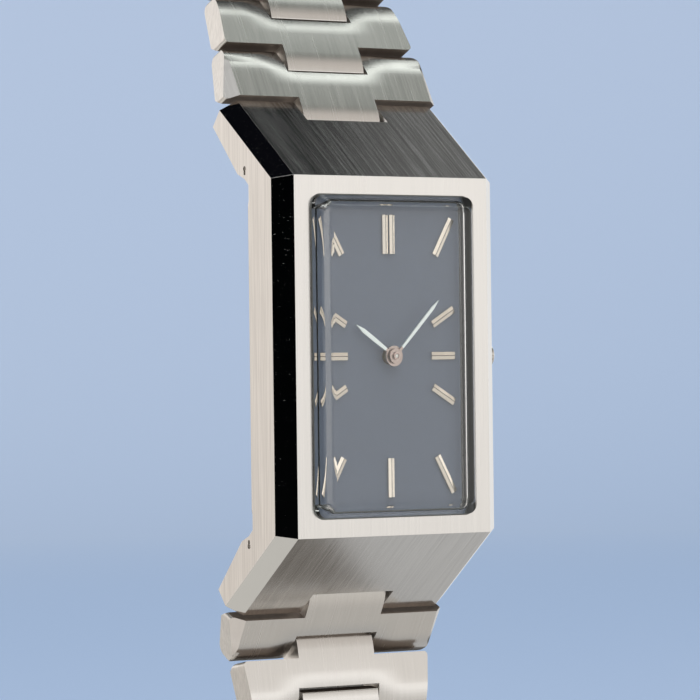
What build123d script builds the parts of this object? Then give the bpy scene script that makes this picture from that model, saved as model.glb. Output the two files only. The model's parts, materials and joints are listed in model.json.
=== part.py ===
"""Rectangular steel wristwatch with a long stepped case and a tapering T-link bracelet.

Frame: X points to 3 o'clock, Y from the dial to the wrist, Z to 12 o'clock, in millimetres.
The origin is the centre of the case back's rear face, so the dial side lies at negative Y.
Depths are counted from the bezel's front plane towards the wrist.
"""
from build123d import *
from math import cos, radians, sin
import os

os.makedirs("parts", exist_ok=True)

# Case
case_depth = 7.9
case_width = 22.8
case_front_length = 29.6
case_bevel_width = 1.41
case_bevel_depth = 1.24
slope_depth = 7.74
slope_rise = 6.44
slope_bevel_drop = 1.0
arm_end_depth = 9.3
arm_end_rise = 4.3
arm_heel_drop = 1.53
arm_heel_rise = 0.25
arm_step_drop = 0.53
arm_step_set_back = 0.2
mid_case_set_back = 0.7
mid_case_depth_share = 0.5532
keyhole_rise = 0.65
keyhole_radius = 0.2
keyhole_slot_width = 0.24
keyhole_slot_drop = 0.5
keyhole_pocket = 0.4

# Bezel opening, crystal and dial
bezel_rail = 1.66
bezel_end_rail = 1.5
opening_corner = 0.95
crystal_rise = 1.4
crystal_lip = 0.45
crystal_slope_width = 0.96
crystal_crest_radius = 0.6
crystal_inner_radius = 0.5
crystal_gap = 0.12
crystal_wall = 0.82
crystal_underside_depth = 0.0
crystal_foot_depth = 1.1
gasket_clearance = 0.02
dial_depth = 1.25
dial_thickness = 0.4
dial_hole_radius = 0.68
dial_ledge = 0.65
plate_clearance = 0.11

# Markers and hands
marker_height = 0.3
marker_width = 0.65
marker_roof = 0.12
marker_twin_gap = 0.14
hand_thickness = 0.12
minute_hand_depth = 0.24
hour_hand_depth = 0.46
minute_hand_clearance = 0.91
hour_hand_length_share = 0.723
minute_hand_width = 0.29
hour_hand_width = 0.36
hand_tail_width = 0.2
hand_tip_length = 0.9
minute_hub_radius = 0.62
hour_hub_radius = 0.85
minute_angle = 44.7
hour_angle = 303.75
pinion_top_depth = 0.1
pinion_radius = 0.32
post_radius = 0.15
hour_tube_radius = 0.56
hour_wheel_radius = 2.0
hour_wheel_thickness = 0.2
pinion_leaf_radius = 0.55
pinion_leaf_count = 8
running_gap = 0.04

# Movement
movement_side_gap = 1.33
cavity_wall = 0.6
motion_recess_radius = 2.4
fit_gap = 0.05
pillar_radius = 0.6
barrel_tooth = 0.2
barrel_tooth_count = 36
balance_rim = 0.35
balance_spoke = 0.4
staff_radius = 0.2
rotor_plate = 0.4
rotor_back_gap = 0.6
rotor_rim = 1.5
rotor_hub_radius = 1.2
rotor_post_radius = 0.6

# Case back
back_side_set_in = 1.9
back_end_set_in = 0.2
back_floor = 1.1
back_edge = 0.8
back_corner = 1.4
spigot_wall = 0.5
spigot_reach = 0.62
back_gasket_width = 0.5

# Crown and stem
crown_radius = 1.15
crown_length = 0.72
crown_flute = 0.12
crown_flute_count = 22
crown_pull = 0.9
stem_radius = 0.4
stem_groove_radius = 0.25
stem_groove_width = 0.4
lever_thickness = 0.3
lever_height = 1.8

# Bracelet
lug_pin_depth = 7.6
lug_pin_rise = 5.1
pin_radius = 0.35
pin_gap = 0.05
link_pitch = 5.06
lower_first_pitch = 4.36
link_front = 1.0
link_rear = 1.15
link_shoulder = 1.5
link_end_past_pin = 1.16
lower_first_reach = 0.22
link_round_run = 2.05
link_end_front = 0.25
link_end_radius = 0.85
link_rear_corner = 0.6
link_plan_corner = 0.35
tongue_half_width = 3.95
tongue_end = 0.95
tongue_front_radius = 0.6
notch_half_width = 4.2
notch_before_pin = 1.07
notch_clearance = 0.07
case_notch_length = 2.4
end_bevel_depth = 0.95
pin_inset = 0.6

# Width of each link at its shoulder as a share of the case's, from the case outwards.
upper_width_shares = [0.9737, 0.8596, 0.7939, 0.7456, 0.7018, 0.6667, 0.6404, 0.6228, 0.6140]
lower_width_shares = [0.9737, 0.8465, 0.7851, 0.7368, 0.6930, 0.6491, 0.6228]
first_link_taper = 1.05
link_taper = 0.65

# Resting tilt of each link, in degrees from the vertical towards the wrist.
upper_tilts = [26, 27, 30, 36, 44, 52, 60, 68, 76, 80]
lower_tilts = [27, -10, 8, 22, 34, 46, 58, 66]

# Clasp
clasp_half_width = 6.3
clasp_frame_length = 26.0
clasp_block = 2.0
clasp_floor = 0.6
clasp_rail_width = 0.9
clasp_bar_radius = 0.4
clasp_bar_from_end = 4.2
clasp_window_start = 11.0
clasp_cover_bar_along = 12.4
clasp_hook_length = 9.5
clasp_hook_half_width = 4.9
clasp_hook_thickness = 0.55
clasp_hook_lip = 0.2
cover_thickness = 0.5
cover_gap = 0.12
cover_bar_radius = 0.45
cover_knuckle_radius = 1.0
cover_lip = 0.7
overrun = 1.0

# Places on the dial, as shares of the opening's half width and half length.
marker_end_shares = (0.6331, 0.8774)
marker_side_shares = (0.5234, 0.8187)
marker_near_shares = ((0.5834, 0.6263), (0.7923, 0.8556))
marker_far_shares = ((0.5402, 0.1947), (0.8067, 0.2910))

# Places and radii in the movement, as shares of its radius.
barrel_radius_share = 0.3791
barrel_place_share = (-0.4837, 0.3399)
balance_radius_share = 0.3660
balance_place_share = (0.4706, -0.4183)
pillar_place_shares = ((-0.732, -0.4444), (0, 0.8366), (0.0523, -0.8366), (0.732, 0.4706))
rotor_radius_share = 0.8889
stem_inner_share = 0.6405
lever_place_share = 0.7712

# Depths in the movement, as shares of the room between the dial and the case back.
motion_recess_share = 0.1892
stem_depth_share = 0.2568
plate_end_share = 0.4144
bridge_start_share = 0.6171
bridge_end_share = 0.7297
rotor_start_share = 0.7860
rotor_weight_share = 0.2140
lever_reach_share = 0.6579
barrel_thickness_share = 0.6667
balance_thickness_share = 0.3333

half_width = case_width / 2
half_front = half_width - case_bevel_width
half_length = case_front_length / 2
front_y = -case_depth
opening_half_width = half_front - bezel_rail
opening_half_length = half_length - bezel_end_rail
cavity_half_width = opening_half_width + dial_ledge
cavity_half_length = opening_half_length + dial_ledge
mid_case_depth = case_depth * mid_case_depth_share
lug_pin_z = half_length + lug_pin_rise

# The movement fills the room that the case leaves it.
movement_radius = cavity_half_width - movement_side_gap
plate_start_depth = dial_depth + dial_thickness + plate_clearance
movement_room = case_depth - back_floor - rotor_back_gap - plate_start_depth
motion_recess_end = plate_start_depth + motion_recess_share * movement_room
crown_depth = plate_start_depth + stem_depth_share * movement_room
plate_end_depth = plate_start_depth + plate_end_share * movement_room
bridge_start_depth = plate_start_depth + bridge_start_share * movement_room
bridge_end_depth = plate_start_depth + bridge_end_share * movement_room
rotor_start_depth = plate_start_depth + rotor_start_share * movement_room
rotor_weight = rotor_weight_share * movement_room
barrel_thickness = barrel_thickness_share * (bridge_start_depth - plate_end_depth)
balance_thickness = balance_thickness_share * (bridge_start_depth - plate_end_depth)
lever_reach = lever_reach_share * (crown_depth - plate_start_depth)
barrel_radius = barrel_radius_share * movement_radius
barrel_x = barrel_place_share[0] * movement_radius
barrel_z = barrel_place_share[1] * movement_radius
balance_radius = balance_radius_share * movement_radius
balance_x = balance_place_share[0] * movement_radius
balance_z = balance_place_share[1] * movement_radius
rotor_radius = rotor_radius_share * movement_radius
stem_inner_x = stem_inner_share * movement_radius
lever_x = lever_place_share * movement_radius


def y_at(depth):
    """Row position of a depth behind the bezel's front plane."""
    return depth - case_depth


def facing(depth):
    """Plane at a depth, seen by the wearer: sketch x to 3 o'clock, y to 12, normal to the dial side."""
    return Plane(origin=(0, y_at(depth), 0), x_dir=(1, 0, 0), z_dir=(0, -1, 0))


def across(x):
    """Plane across the case: sketch x towards the wrist, y to 12 o'clock, normal to 9 o'clock."""
    return Plane(origin=(x, front_y, 0), x_dir=(0, 1, 0), z_dir=(-1, 0, 0))


def finish(part, name):
    part.label = name
    export_step(part, f"parts/{name}.step")


# Case body
# The side view holds the front, both slopes and the arms; its outer copy is set in for the bevel.
tip_z = half_length + slope_rise
slope_length = (slope_depth ** 2 + slope_rise ** 2) ** 0.5
slope_angle_sin = slope_depth / slope_length
slope_angle_cos = slope_rise / slope_length


def side_outline(front_inset, slope_inset):
    """Half of the case's side view, from the front's middle to the rear, as depth and height."""
    # The slope's corner with the front, moved in by both insets.
    corner_z = half_length + (front_inset * slope_angle_cos - slope_inset) / slope_angle_sin
    arm_end_z = half_length + arm_end_rise
    # The slope's end slides along the arm's end face.
    end_run = ((arm_end_depth - slope_depth) ** 2 + (tip_z - arm_end_z) ** 2) ** 0.5
    end_share = slope_inset / end_run
    end_depth = slope_depth + (arm_end_depth - slope_depth) * end_share
    end_z = tip_z + (arm_end_z - tip_z) * end_share
    return [
        (front_inset, corner_z),
        (end_depth, end_z),
        (arm_end_depth, arm_end_z),
        (mid_case_depth + arm_heel_drop, half_length + arm_heel_rise),
        (mid_case_depth + arm_step_drop, half_length - arm_step_set_back),
        (mid_case_depth, half_length - mid_case_set_back),
    ]


def full_outline(front_inset, slope_inset):
    """The whole closed side view, the lower half mirrored from the upper."""
    upper = side_outline(front_inset, slope_inset)
    lower = [(depth, -z) for depth, z in reversed(upper)]
    return upper + lower


upper_slope = Plane(
    origin=(0, y_at(lug_pin_depth), lug_pin_z),
    x_dir=(0, slope_angle_sin, slope_angle_cos),
    z_dir=(1, 0, 0),
)
lower_slope = Plane(
    origin=(0, y_at(lug_pin_depth), -lug_pin_z),
    x_dir=(0, slope_angle_sin, -slope_angle_cos),
    z_dir=(-1, 0, 0),
)
# How far the notch's inner wall lies before the pin, measured along the slope.
lug_pin_along = lug_pin_depth * slope_angle_sin + (lug_pin_z - half_length) * slope_angle_cos
notch_back = lug_pin_along - (slope_length - case_notch_length)

with BuildPart() as case_body:
    for x, inset in ((-half_width, 1), (-half_front, 0), (half_front, 0), (half_width, 1)):
        with BuildSketch(across(x)):
            with BuildLine():
                Polyline(*full_outline(case_bevel_depth * inset, slope_bevel_drop * inset), close=True)
            make_face()
    loft(ruled=True)
    # The window for the crystal, and the wider room behind it for dial and movement.
    with BuildSketch(facing(-overrun)):
        RectangleRounded(2 * opening_half_width, 2 * opening_half_length, opening_corner)
    extrude(amount=-(dial_depth + 2 * overrun), mode=Mode.SUBTRACT)
    with BuildSketch(facing(dial_depth)):
        RectangleRounded(2 * cavity_half_width, 2 * cavity_half_length, opening_corner)
    extrude(amount=-case_depth, mode=Mode.SUBTRACT)
    # A notch in each arm's end takes the first link's tongue, on a cross hole for the lug pin.
    for slope in (upper_slope, lower_slope):
        with BuildSketch(slope):
            with Locations((-notch_back, 0)):
                Rectangle(case_depth, case_depth, align=(Align.MIN, Align.CENTER))
        extrude(amount=notch_half_width, both=True, mode=Mode.SUBTRACT)
        with BuildSketch(slope):
            Circle(pin_radius)
        extrude(amount=half_width - pin_inset, both=True, mode=Mode.SUBTRACT)
    # The stem's hole through the wall at 3 o'clock.
    with BuildSketch(Plane.YZ.offset(cavity_half_width - overrun)):
        with Locations((y_at(crown_depth), 0)):
            Circle(stem_radius + fit_gap)
    extrude(amount=half_width, mode=Mode.SUBTRACT)
    # A small keyhole pocket in both flanks of each arm, over the heel.
    keyhole_depth = mid_case_depth + arm_step_drop
    keyhole_z = half_length + keyhole_rise
    for x in (-half_width, half_width):
        for end in (-1, 1):
            with BuildSketch(across(x)):
                with Locations((keyhole_depth, end * keyhole_z)):
                    Circle(keyhole_radius)
                with Locations((keyhole_depth, end * (keyhole_z - keyhole_slot_drop / 2))):
                    Rectangle(keyhole_slot_width, keyhole_slot_drop)
            extrude(amount=keyhole_pocket, both=True, mode=Mode.SUBTRACT)
finish(case_body.part, "case_body")

# Crystal
# A hollow box of clear acrylic: a flat top, a sloped rim over a low lip, and walls that stand
# on the gasket.
crystal_half_width = opening_half_width - crystal_gap
crystal_half_length = opening_half_length - crystal_gap
crystal_corner = opening_corner - crystal_gap

with BuildPart() as crystal:
    with BuildSketch(facing(crystal_foot_depth)):
        RectangleRounded(2 * crystal_half_width, 2 * crystal_half_length, crystal_corner)
    extrude(amount=crystal_foot_depth + crystal_lip)
    with BuildSketch(facing(-crystal_lip)):
        RectangleRounded(2 * crystal_half_width, 2 * crystal_half_length, crystal_corner)
    with BuildSketch(facing(-crystal_rise)):
        RectangleRounded(
            2 * (crystal_half_width - crystal_slope_width),
            2 * (crystal_half_length - crystal_slope_width),
            crystal_crest_radius,
        )
    loft(ruled=True)
    fillet(crystal.faces().sort_by(Axis.Y)[0].edges(), radius=crystal_crest_radius * 0.9)
    # The hollow over the dial, rounded where its walls meet the underside.
    with BuildPart(mode=Mode.PRIVATE) as hollow:
        with BuildSketch(facing(crystal_foot_depth)):
            RectangleRounded(
                2 * (crystal_half_width - crystal_wall),
                2 * (crystal_half_length - crystal_wall),
                crystal_inner_radius,
            )
        extrude(amount=crystal_foot_depth - crystal_underside_depth)
        fillet(hollow.faces().sort_by(Axis.Y)[0].edges(), radius=crystal_inner_radius * 0.9)
    add(hollow.part, mode=Mode.SUBTRACT)
finish(crystal.part, "crystal")

with BuildPart() as crystal_gasket:
    with BuildSketch(facing(0)):
        RectangleRounded(
            2 * (opening_half_width - gasket_clearance),
            2 * (opening_half_length - gasket_clearance),
            opening_corner - gasket_clearance,
        )
        RectangleRounded(
            2 * (crystal_half_width + gasket_clearance),
            2 * (crystal_half_length + gasket_clearance),
            crystal_corner + gasket_clearance,
            mode=Mode.SUBTRACT,
        )
    extrude(amount=-crystal_foot_depth)
    # A foot turned in under the crystal's wall.
    with BuildSketch(facing(crystal_foot_depth)):
        RectangleRounded(
            2 * (opening_half_width - gasket_clearance),
            2 * (opening_half_length - gasket_clearance),
            opening_corner - gasket_clearance,
        )
        RectangleRounded(
            2 * (crystal_half_width - crystal_wall / 2),
            2 * (crystal_half_length - crystal_wall / 2),
            crystal_corner / 2,
            mode=Mode.SUBTRACT,
        )
    extrude(amount=-(dial_depth - crystal_foot_depth))
finish(crystal_gasket.part, "crystal_gasket")

# Dial and hour markers
with BuildPart() as dial:
    with BuildSketch(facing(dial_depth)):
        RectangleRounded(
            2 * (cavity_half_width - fit_gap), 2 * (cavity_half_length - fit_gap), opening_corner
        )
        Circle(dial_hole_radius, mode=Mode.SUBTRACT)
    extrude(amount=-dial_thickness)
finish(dial.part, "dial")


def baton(inner, outer, width):
    """A marker bar between two points of the dial, with a low ridge along its middle."""
    length = ((outer[0] - inner[0]) ** 2 + (outer[1] - inner[1]) ** 2) ** 0.5
    run = Vector(outer[0] - inner[0], 0, outer[1] - inner[1]).normalized()
    start = Vector(inner[0], y_at(dial_depth), inner[1])
    section = Plane(origin=start, x_dir=run.cross(Vector(0, -1, 0)), z_dir=run)
    rise = marker_height * section.y_dir.dot(Vector(0, -1, 0))
    shoulder = rise * (1 - marker_roof / marker_height)
    with BuildPart(mode=Mode.PRIVATE) as bar:
        with BuildSketch(section):
            with BuildLine():
                Polyline(
                    (-width / 2, 0),
                    (width / 2, 0),
                    (width / 2, shoulder),
                    (0, rise),
                    (-width / 2, shoulder),
                    close=True,
                )
            make_face()
        extrude(amount=length)
    return bar.part


def on_dial(shares):
    """A place on the dial from its shares of the opening's half width and half length."""
    return shares[0] * opening_half_width, shares[1] * opening_half_length


marker_bars = []
end_inner, end_outer = (share * opening_half_length for share in marker_end_shares)
side_inner, side_outer = (share * opening_half_width for share in marker_side_shares)
near_marker = [on_dial(shares) for shares in marker_near_shares]
far_marker = [on_dial(shares) for shares in marker_far_shares]
twin_width = marker_width - marker_twin_gap / 2
for side in (-1, 1):
    twin_x = side * (twin_width + marker_twin_gap) / 2
    marker_bars.append(baton((twin_x, end_inner), (twin_x, end_outer), twin_width))
    marker_bars.append(baton((side * side_inner, 0), (side * side_outer, 0), marker_width))
    for end in (-1, 1):
        for inner, outer in (near_marker, far_marker):
            start = (side * inner[0], end * inner[1])
            stop = (side * outer[0], end * outer[1])
            marker_bars.append(baton(start, stop, marker_width))
marker_bars.append(baton((0, -end_inner), (0, -end_outer), marker_width))

with BuildPart() as hour_markers:
    add(marker_bars)
finish(hour_markers.part, "hour_markers")


# Hands and motion work
def hand(depth, length, width, hub_radius, bore_radius, angle):
    """A straight baton hand with a pointed tip on a round hub, turned clockwise from 12 o'clock."""
    turned = Plane(
        origin=(0, y_at(depth), 0), x_dir=(cos(radians(angle)), 0, -sin(radians(angle))), z_dir=(0, -1, 0)
    )
    with BuildPart(mode=Mode.PRIVATE) as made:
        with BuildSketch(turned):
            with BuildLine():
                Polyline(
                    (-hand_tail_width / 2, 0),
                    (-width / 2, length / 2),
                    (-width / 2, length - hand_tip_length),
                    (0, length),
                    (width / 2, length - hand_tip_length),
                    (width / 2, length / 2),
                    (hand_tail_width / 2, 0),
                    close=True,
                )
            make_face()
            Circle(hub_radius)
            Circle(bore_radius, mode=Mode.SUBTRACT)
        extrude(amount=-hand_thickness)
    return made.part


minute_hand_length = crystal_half_width - crystal_wall - minute_hand_clearance
hour_hand_length = hour_hand_length_share * minute_hand_length
hand_seat_gap = running_gap / 4
minute_bore = pinion_radius + hand_seat_gap
hour_bore = hour_tube_radius + hand_seat_gap

with BuildPart() as minute_hand:
    add(
        hand(
            minute_hand_depth,
            minute_hand_length,
            minute_hand_width,
            minute_hub_radius,
            minute_bore,
            minute_angle,
        )
    )
finish(minute_hand.part, "minute_hand")

with BuildPart() as hour_hand:
    add(hand(hour_hand_depth, hour_hand_length, hour_hand_width, hour_hub_radius, hour_bore, hour_angle))
finish(hour_hand.part, "hour_hand")

# The cannon pinion carries the minute hand and turns on the main plate's centre post.
pinion_leaf_depth = motion_recess_end - running_gap
hour_wheel_depth = plate_start_depth + running_gap

with BuildPart() as cannon_pinion:
    with BuildSketch(facing(pinion_top_depth)):
        Circle(pinion_radius)
        Circle(post_radius + running_gap, mode=Mode.SUBTRACT)
    extrude(amount=-(pinion_leaf_depth - pinion_top_depth))
    leaf_start_depth = hour_wheel_depth + hour_wheel_thickness + running_gap
    with BuildSketch(facing(leaf_start_depth)):
        with PolarLocations((pinion_radius + pinion_leaf_radius) / 2, pinion_leaf_count):
            Rectangle(pinion_leaf_radius - pinion_radius + overrun / 8, pinion_radius / 2)
        Circle(post_radius + running_gap, mode=Mode.SUBTRACT)
    extrude(amount=-(pinion_leaf_depth - leaf_start_depth))
finish(cannon_pinion.part, "cannon_pinion")

with BuildPart() as hour_wheel:
    with BuildSketch(facing(hour_hand_depth - hand_thickness / 4)):
        Circle(hour_tube_radius)
    extrude(amount=-(hour_wheel_depth - hour_hand_depth + hand_thickness))
    with BuildSketch(facing(hour_wheel_depth)):
        Circle(hour_wheel_radius)
        with PolarLocations(hour_wheel_radius, 4 * pinion_leaf_count):
            Rectangle(pinion_radius / 2, pinion_radius / 2)
    extrude(amount=-hour_wheel_thickness)
    with BuildSketch(facing(-overrun)):
        Circle(pinion_radius + running_gap)
    extrude(amount=-(plate_end_depth + overrun), mode=Mode.SUBTRACT)
finish(hour_wheel.part, "hour_wheel")

# Movement
ring_end_depth = plate_end_depth
stem_slot = stem_radius + fit_gap

with BuildPart() as movement_ring:
    with BuildSketch(facing(plate_start_depth - fit_gap)):
        RectangleRounded(
            2 * (cavity_half_width - fit_gap), 2 * (cavity_half_length - fit_gap), opening_corner
        )
        Circle(movement_radius + fit_gap, mode=Mode.SUBTRACT)
    extrude(amount=-(ring_end_depth - plate_start_depth))
    with BuildSketch(Plane.YZ):
        with Locations((y_at(crown_depth), 0)):
            Circle(stem_slot)
    extrude(amount=half_width, mode=Mode.SUBTRACT)
finish(movement_ring.part, "movement_ring")

lever_end_x = lever_x + lever_thickness + crown_pull
pocket_half_height = lever_height / 2 + fit_gap

with BuildPart() as main_plate:
    with BuildSketch(facing(plate_start_depth)):
        Circle(movement_radius)
    extrude(amount=-(plate_end_depth - plate_start_depth))
    # The recess for the motion work, with the centre post standing in it.
    with BuildSketch(facing(plate_start_depth)):
        Circle(motion_recess_radius)
    extrude(amount=-(motion_recess_end - plate_start_depth), mode=Mode.SUBTRACT)
    with BuildSketch(facing(pinion_top_depth + running_gap)):
        Circle(post_radius)
    extrude(amount=-(plate_end_depth - pinion_top_depth - 2 * running_gap))
    # The stem's bore and the setting lever's pocket, open to the wrist side.
    with BuildSketch(Plane.YZ.offset(stem_inner_x - fit_gap)):
        with Locations((y_at(crown_depth), 0)):
            Circle(stem_slot)
    extrude(amount=half_width, mode=Mode.SUBTRACT)
    with BuildSketch(facing(crown_depth - lever_reach - fit_gap)):
        with Locations((lever_x - fit_gap, 0)):
            Rectangle(
                lever_end_x - lever_x + 2 * fit_gap, 2 * pocket_half_height, align=(Align.MIN, Align.CENTER)
            )
    extrude(amount=-case_depth, mode=Mode.SUBTRACT)
    # Bearing holes for the barrel arbor and the balance staff.
    for x, z in ((barrel_x, barrel_z), (balance_x, balance_z)):
        with BuildSketch(facing(plate_end_depth)):
            with Locations((x, z)):
                Circle(staff_radius + running_gap)
        extrude(amount=pillar_radius, mode=Mode.SUBTRACT)
finish(main_plate.part, "main_plate")

pillar_places = [(x * movement_radius, z * movement_radius) for x, z in pillar_place_shares]

with BuildPart() as train_bridge:
    with BuildSketch(facing(bridge_start_depth)):
        Circle(movement_radius - cavity_wall / 2)
    extrude(amount=-(bridge_end_depth - bridge_start_depth))
    with BuildSketch(facing(plate_end_depth)):
        with Locations(*pillar_places):
            Circle(pillar_radius)
    extrude(amount=-(bridge_start_depth - plate_end_depth))
    # The rotor's post at the centre.
    with BuildSketch(facing(bridge_end_depth)):
        Circle(rotor_post_radius)
    extrude(amount=-(rotor_start_depth + rotor_plate + rotor_hub_radius / 2 - bridge_end_depth))
    for x, z in ((barrel_x, barrel_z), (balance_x, balance_z)):
        with BuildSketch(facing(bridge_start_depth)):
            with Locations((x, z)):
                Circle(staff_radius + running_gap)
        extrude(amount=-(bridge_end_depth - bridge_start_depth) / 2, mode=Mode.SUBTRACT)
finish(train_bridge.part, "train_bridge")

arbor_start_depth = plate_end_depth - pillar_radius / 2
arbor_end_depth = bridge_start_depth + (bridge_end_depth - bridge_start_depth) / 2 - fit_gap

with BuildPart() as barrel:
    with BuildSketch(facing(plate_end_depth + fit_gap)):
        with Locations((barrel_x, barrel_z)):
            Circle(barrel_radius)
            with PolarLocations(barrel_radius, barrel_tooth_count):
                Rectangle(2 * barrel_tooth, barrel_tooth)
    extrude(amount=-barrel_thickness)
    with BuildSketch(facing(arbor_start_depth)):
        with Locations((barrel_x, barrel_z)):
            Circle(staff_radius)
    extrude(amount=-(arbor_end_depth - arbor_start_depth))
finish(barrel.part, "barrel")

with BuildPart() as balance_wheel:
    balance_start_depth = (plate_end_depth + bridge_start_depth - balance_thickness) / 2
    with BuildSketch(facing(balance_start_depth)):
        with Locations((balance_x, balance_z)):
            Circle(balance_radius)
            Circle(balance_radius - balance_rim, mode=Mode.SUBTRACT)
            Rectangle(2 * (balance_radius - balance_rim / 2), balance_spoke)
            Circle(2 * staff_radius)
    extrude(amount=-balance_thickness)
    with BuildSketch(facing(arbor_start_depth)):
        with Locations((balance_x, balance_z)):
            Circle(staff_radius)
    extrude(amount=-(arbor_end_depth - arbor_start_depth))
finish(balance_wheel.part, "balance_wheel")

# The winding rotor: a half disc with a heavy rim, on a hub that turns on the bridge's post.
with BuildPart() as rotor:
    with BuildSketch(facing(rotor_start_depth)):
        Circle(rotor_radius)
        Rectangle(2 * rotor_radius, 2 * rotor_radius, align=(Align.CENTER, Align.MIN), mode=Mode.SUBTRACT)
        Circle(rotor_hub_radius)
    extrude(amount=-rotor_plate)
    with BuildSketch(facing(rotor_start_depth)):
        Circle(rotor_radius)
        Circle(rotor_radius - rotor_rim, mode=Mode.SUBTRACT)
        Rectangle(2 * rotor_radius, 2 * rotor_radius, align=(Align.CENTER, Align.MIN), mode=Mode.SUBTRACT)
    extrude(amount=-rotor_weight)
    with BuildSketch(facing(rotor_start_depth)):
        Circle(rotor_hub_radius)
        Circle(rotor_post_radius + running_gap, mode=Mode.SUBTRACT)
    extrude(amount=-(rotor_plate + rotor_hub_radius / 4))
    with BuildSketch(facing(rotor_start_depth - overrun)):
        Circle(rotor_post_radius + running_gap)
    extrude(amount=-case_depth, mode=Mode.SUBTRACT)
finish(rotor.part, "rotor")

# Case back
# A pressed-on box with chamfered edges; its spigot enters the case inside the gasket.
back_half_width = half_width - back_side_set_in
back_half_length = half_length - mid_case_set_back - back_end_set_in
spigot_half_width = cavity_half_width - fit_gap - back_gasket_width
spigot_half_length = cavity_half_length - fit_gap - back_gasket_width

with BuildPart() as case_back:
    with BuildSketch(facing(mid_case_depth + fit_gap)):
        RectangleRounded(2 * back_half_width, 2 * back_half_length, back_corner)
    extrude(amount=-(case_depth - mid_case_depth - fit_gap))
    chamfer(case_back.faces().sort_by(Axis.Y)[-1].edges(), length=back_edge)
    with BuildSketch(facing(mid_case_depth + fit_gap)):
        RectangleRounded(2 * spigot_half_width, 2 * spigot_half_length, back_corner / 2)
    extrude(amount=spigot_reach)
    with BuildSketch(facing(case_depth - back_floor)):
        RectangleRounded(
            2 * (spigot_half_width - spigot_wall),
            2 * (spigot_half_length - spigot_wall),
            back_corner / 2 - spigot_wall / 2,
        )
    extrude(amount=case_depth, mode=Mode.SUBTRACT)
finish(case_back.part, "case_back")

with BuildPart() as case_back_gasket:
    with BuildSketch(facing(mid_case_depth + fit_gap - spigot_reach)):
        RectangleRounded(
            2 * (cavity_half_width - gasket_clearance),
            2 * (cavity_half_length - gasket_clearance),
            opening_corner - gasket_clearance,
        )
        RectangleRounded(
            2 * (spigot_half_width + gasket_clearance),
            2 * (spigot_half_length + gasket_clearance),
            back_corner / 2 + gasket_clearance,
            mode=Mode.SUBTRACT,
        )
    extrude(amount=-(spigot_reach - fit_gap))
finish(case_back_gasket.part, "case_back_gasket")

# Crown, stem and setting lever
crown_inner_x = half_width + fit_gap

with BuildPart() as crown:
    with BuildSketch(Plane.YZ.offset(crown_inner_x)):
        with Locations((y_at(crown_depth), 0)):
            Circle(crown_radius)
            with PolarLocations(crown_radius, crown_flute_count):
                Circle(crown_flute / 2, mode=Mode.SUBTRACT)
            Circle(stem_radius / 2 + hand_seat_gap, mode=Mode.SUBTRACT)
    extrude(amount=crown_length * 3 / 4)
    with BuildSketch(Plane.YZ.offset(crown_inner_x + crown_length * 3 / 4)):
        with Locations((y_at(crown_depth), 0)):
            Circle(crown_radius)
    extrude(amount=crown_length / 4)
    chamfer(crown.faces().sort_by(Axis.X)[-1].edges(), length=crown_length / 6)
finish(crown.part, "crown")

groove_x = lever_x + lever_thickness / 2 - stem_groove_width / 2

with BuildPart() as winding_stem:
    with BuildSketch(Plane.YZ.offset(stem_inner_x)):
        with Locations((y_at(crown_depth), 0)):
            Circle(stem_radius)
    extrude(amount=crown_inner_x - stem_inner_x - fit_gap)
    with BuildSketch(Plane.YZ.offset(groove_x)):
        with Locations((y_at(crown_depth), 0)):
            Circle(stem_radius)
            Circle(stem_groove_radius, mode=Mode.SUBTRACT)
    extrude(amount=stem_groove_width, mode=Mode.SUBTRACT)
    with BuildSketch(Plane.YZ.offset(crown_inner_x - fit_gap)):
        with Locations((y_at(crown_depth), 0)):
            Circle(stem_radius / 2)
    extrude(amount=crown_length / 2)
finish(winding_stem.part, "winding_stem")

# A forked plate in the stem's groove, which slides with it in the main plate's pocket.
with BuildPart() as setting_lever:
    with BuildSketch(Plane.YZ.offset(lever_x)):
        with Locations((y_at(crown_depth - lever_reach), 0)):
            Rectangle(2 * lever_reach, lever_height, align=(Align.MIN, Align.CENTER))
        with Locations((y_at(crown_depth), 0)):
            Circle(stem_groove_radius + running_gap, mode=Mode.SUBTRACT)
            Rectangle(
                case_depth,
                2 * (stem_groove_radius + running_gap),
                align=(Align.MIN, Align.CENTER),
                mode=Mode.SUBTRACT,
            )
    extrude(amount=lever_thickness)
finish(setting_lever.part, "setting_lever")


# Bracelet
def link_planes(pivot, tilt, side):
    """A link's own planes: its side view (along, out) and its front view (across, along)."""
    along = Vector(0, sin(radians(tilt)), side * cos(radians(tilt)))
    out = Vector(0, -cos(radians(tilt)), side * sin(radians(tilt)))
    origin = Vector(0, pivot[0], side * pivot[1])
    return Plane(origin, x_dir=along, z_dir=(side, 0, 0)), Plane(origin, x_dir=along, z_dir=out)


def step_along(pivot, tilt, length):
    """The next pivot, a length further along a link's tilt."""
    return pivot[0] + length * sin(radians(tilt)), pivot[1] + length * cos(radians(tilt))


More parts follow.
